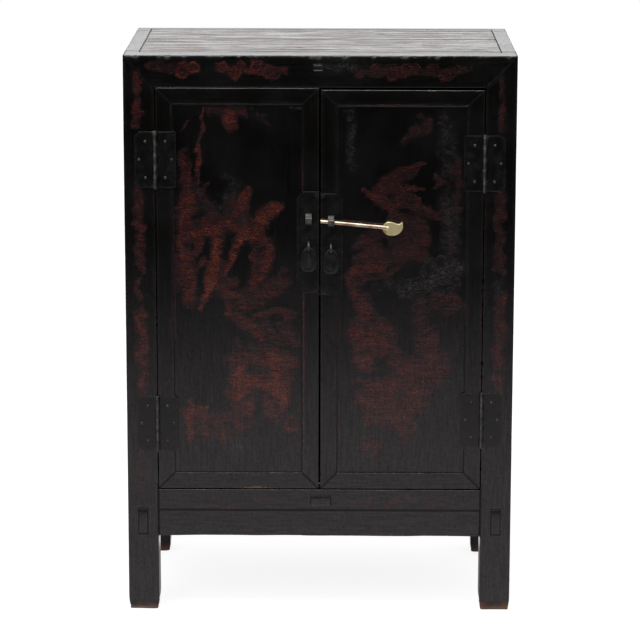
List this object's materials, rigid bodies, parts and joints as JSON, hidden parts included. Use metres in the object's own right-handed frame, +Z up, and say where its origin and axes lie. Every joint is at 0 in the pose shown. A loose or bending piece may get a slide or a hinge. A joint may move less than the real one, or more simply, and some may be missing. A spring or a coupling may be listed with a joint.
{
  "type": "two-door cabinet on legs",
  "caption": "Square-cornered lacquered cabinet standing on its corner posts, with mitred panel doors on surface hinges, pulls and a sliding lock pin.",
  "frame": {"origin": "on the floor, under the middle of the whole cabinet with its hardware", "axes": "+X to the cabinet's right as seen from the front, -Y out of the doors, +Z up"},
  "size_m": [0.75, 0.4538, 1.1],
  "materials": {
    "lacquer": "worn black lacquer",
    "panel_lacquer": "worn red on black lacquer",
    "top_lacquer": "rubbed black lacquer",
    "bare_wood": "aged unfinished softwood",
    "iron": "dark waxed iron",
    "pale_brass": "rubbed pale brass"
  },
  "bodies": {
    "case": {"post_front_left": "lacquer", "post_back_left": "lacquer", "top_end_rail_left": "lacquer", "lower_side_rail_left": "lacquer", "side_panel_left": "lacquer", "back_panel_left": "bare_wood", "shelf_bearer_left": "bare_wood", "upper_left_hinge_post_leaf": "iron", "lower_left_hinge_post_leaf": "iron", "upper_left_hinge_pin": "iron", "lower_left_hinge_pin": "iron", "post_front_right": "lacquer", "post_back_right": "lacquer", "top_end_rail_right": "lacquer", "lower_side_rail_right": "lacquer", "side_panel_right": "lacquer", "back_panel_right": "bare_wood", "shelf_bearer_right": "bare_wood", "upper_right_hinge_post_leaf": "iron", "lower_right_hinge_post_leaf": "iron", "upper_right_hinge_pin": "iron", "lower_right_hinge_pin": "iron", "top_front_rail": "lacquer", "top_back_rail": "lacquer", "top_plank_front": "top_lacquer", "top_plank_back": "top_lacquer", "top_brace": "bare_wood", "sill_rail": "lacquer", "front_apron": "lacquer", "back_lower_rail": "lacquer", "back_stile": "bare_wood", "bottom_brace": "bare_wood", "floor_board_front": "bare_wood", "floor_board_back": "bare_wood", "shelf": "bare_wood"},
    "left_door": {"left_door_hinge_stile": "lacquer", "left_door_meeting_stile": "lacquer", "left_door_top_rail": "lacquer", "left_door_bottom_rail": "lacquer", "left_door_panel": "panel_lacquer", "left_door_batten": "bare_wood", "upper_left_hinge_door_leaf": "iron", "lower_left_hinge_door_leaf": "iron", "left_lock_plate": "iron", "left_lock_eye": "iron", "left_pull_loop": "iron"},
    "right_door": {"right_door_hinge_stile": "lacquer", "right_door_meeting_stile": "lacquer", "right_door_top_rail": "lacquer", "right_door_bottom_rail": "lacquer", "right_door_panel": "panel_lacquer", "right_door_batten": "bare_wood", "upper_right_hinge_door_leaf": "iron", "lower_right_hinge_door_leaf": "iron", "right_lock_plate": "iron", "right_lock_eye": "iron", "right_pull_loop": "iron"},
    "left_pull": {"left_pull_tab": "iron"},
    "right_pull": {"right_pull_tab": "iron"},
    "lock_pin": {"lock_pin": "pale_brass"}
  },
  "joints": [
    {"name": "left_door_hinge", "type": "hinge", "parent": "case", "child": "left_door", "pos_m": [-0.3145, -0.21761, 0.64], "axis": [0, 0, -1], "range_deg": [0, 170]},
    {"name": "right_door_hinge", "type": "hinge", "parent": "case", "child": "right_door", "pos_m": [0.3145, -0.21761, 0.64], "axis": [0, 0, 1], "range_deg": [0, 170]},
    {"name": "left_pull_swing", "type": "hinge", "parent": "left_door", "child": "left_pull", "pos_m": [-0.0215, -0.21581, 0.731], "axis": [-1, 0, 0], "range_deg": [0, 90]},
    {"name": "right_pull_swing", "type": "hinge", "parent": "right_door", "child": "right_pull", "pos_m": [0.0215, -0.21581, 0.727], "axis": [-1, 0, 0], "range_deg": [0, 90]},
    {"name": "lock_pin_slide", "type": "slide", "parent": "right_door", "child": "lock_pin", "axis": [0.9957, 0, -0.0926], "range_m": [-0.07, 0.032]}
  ]
}
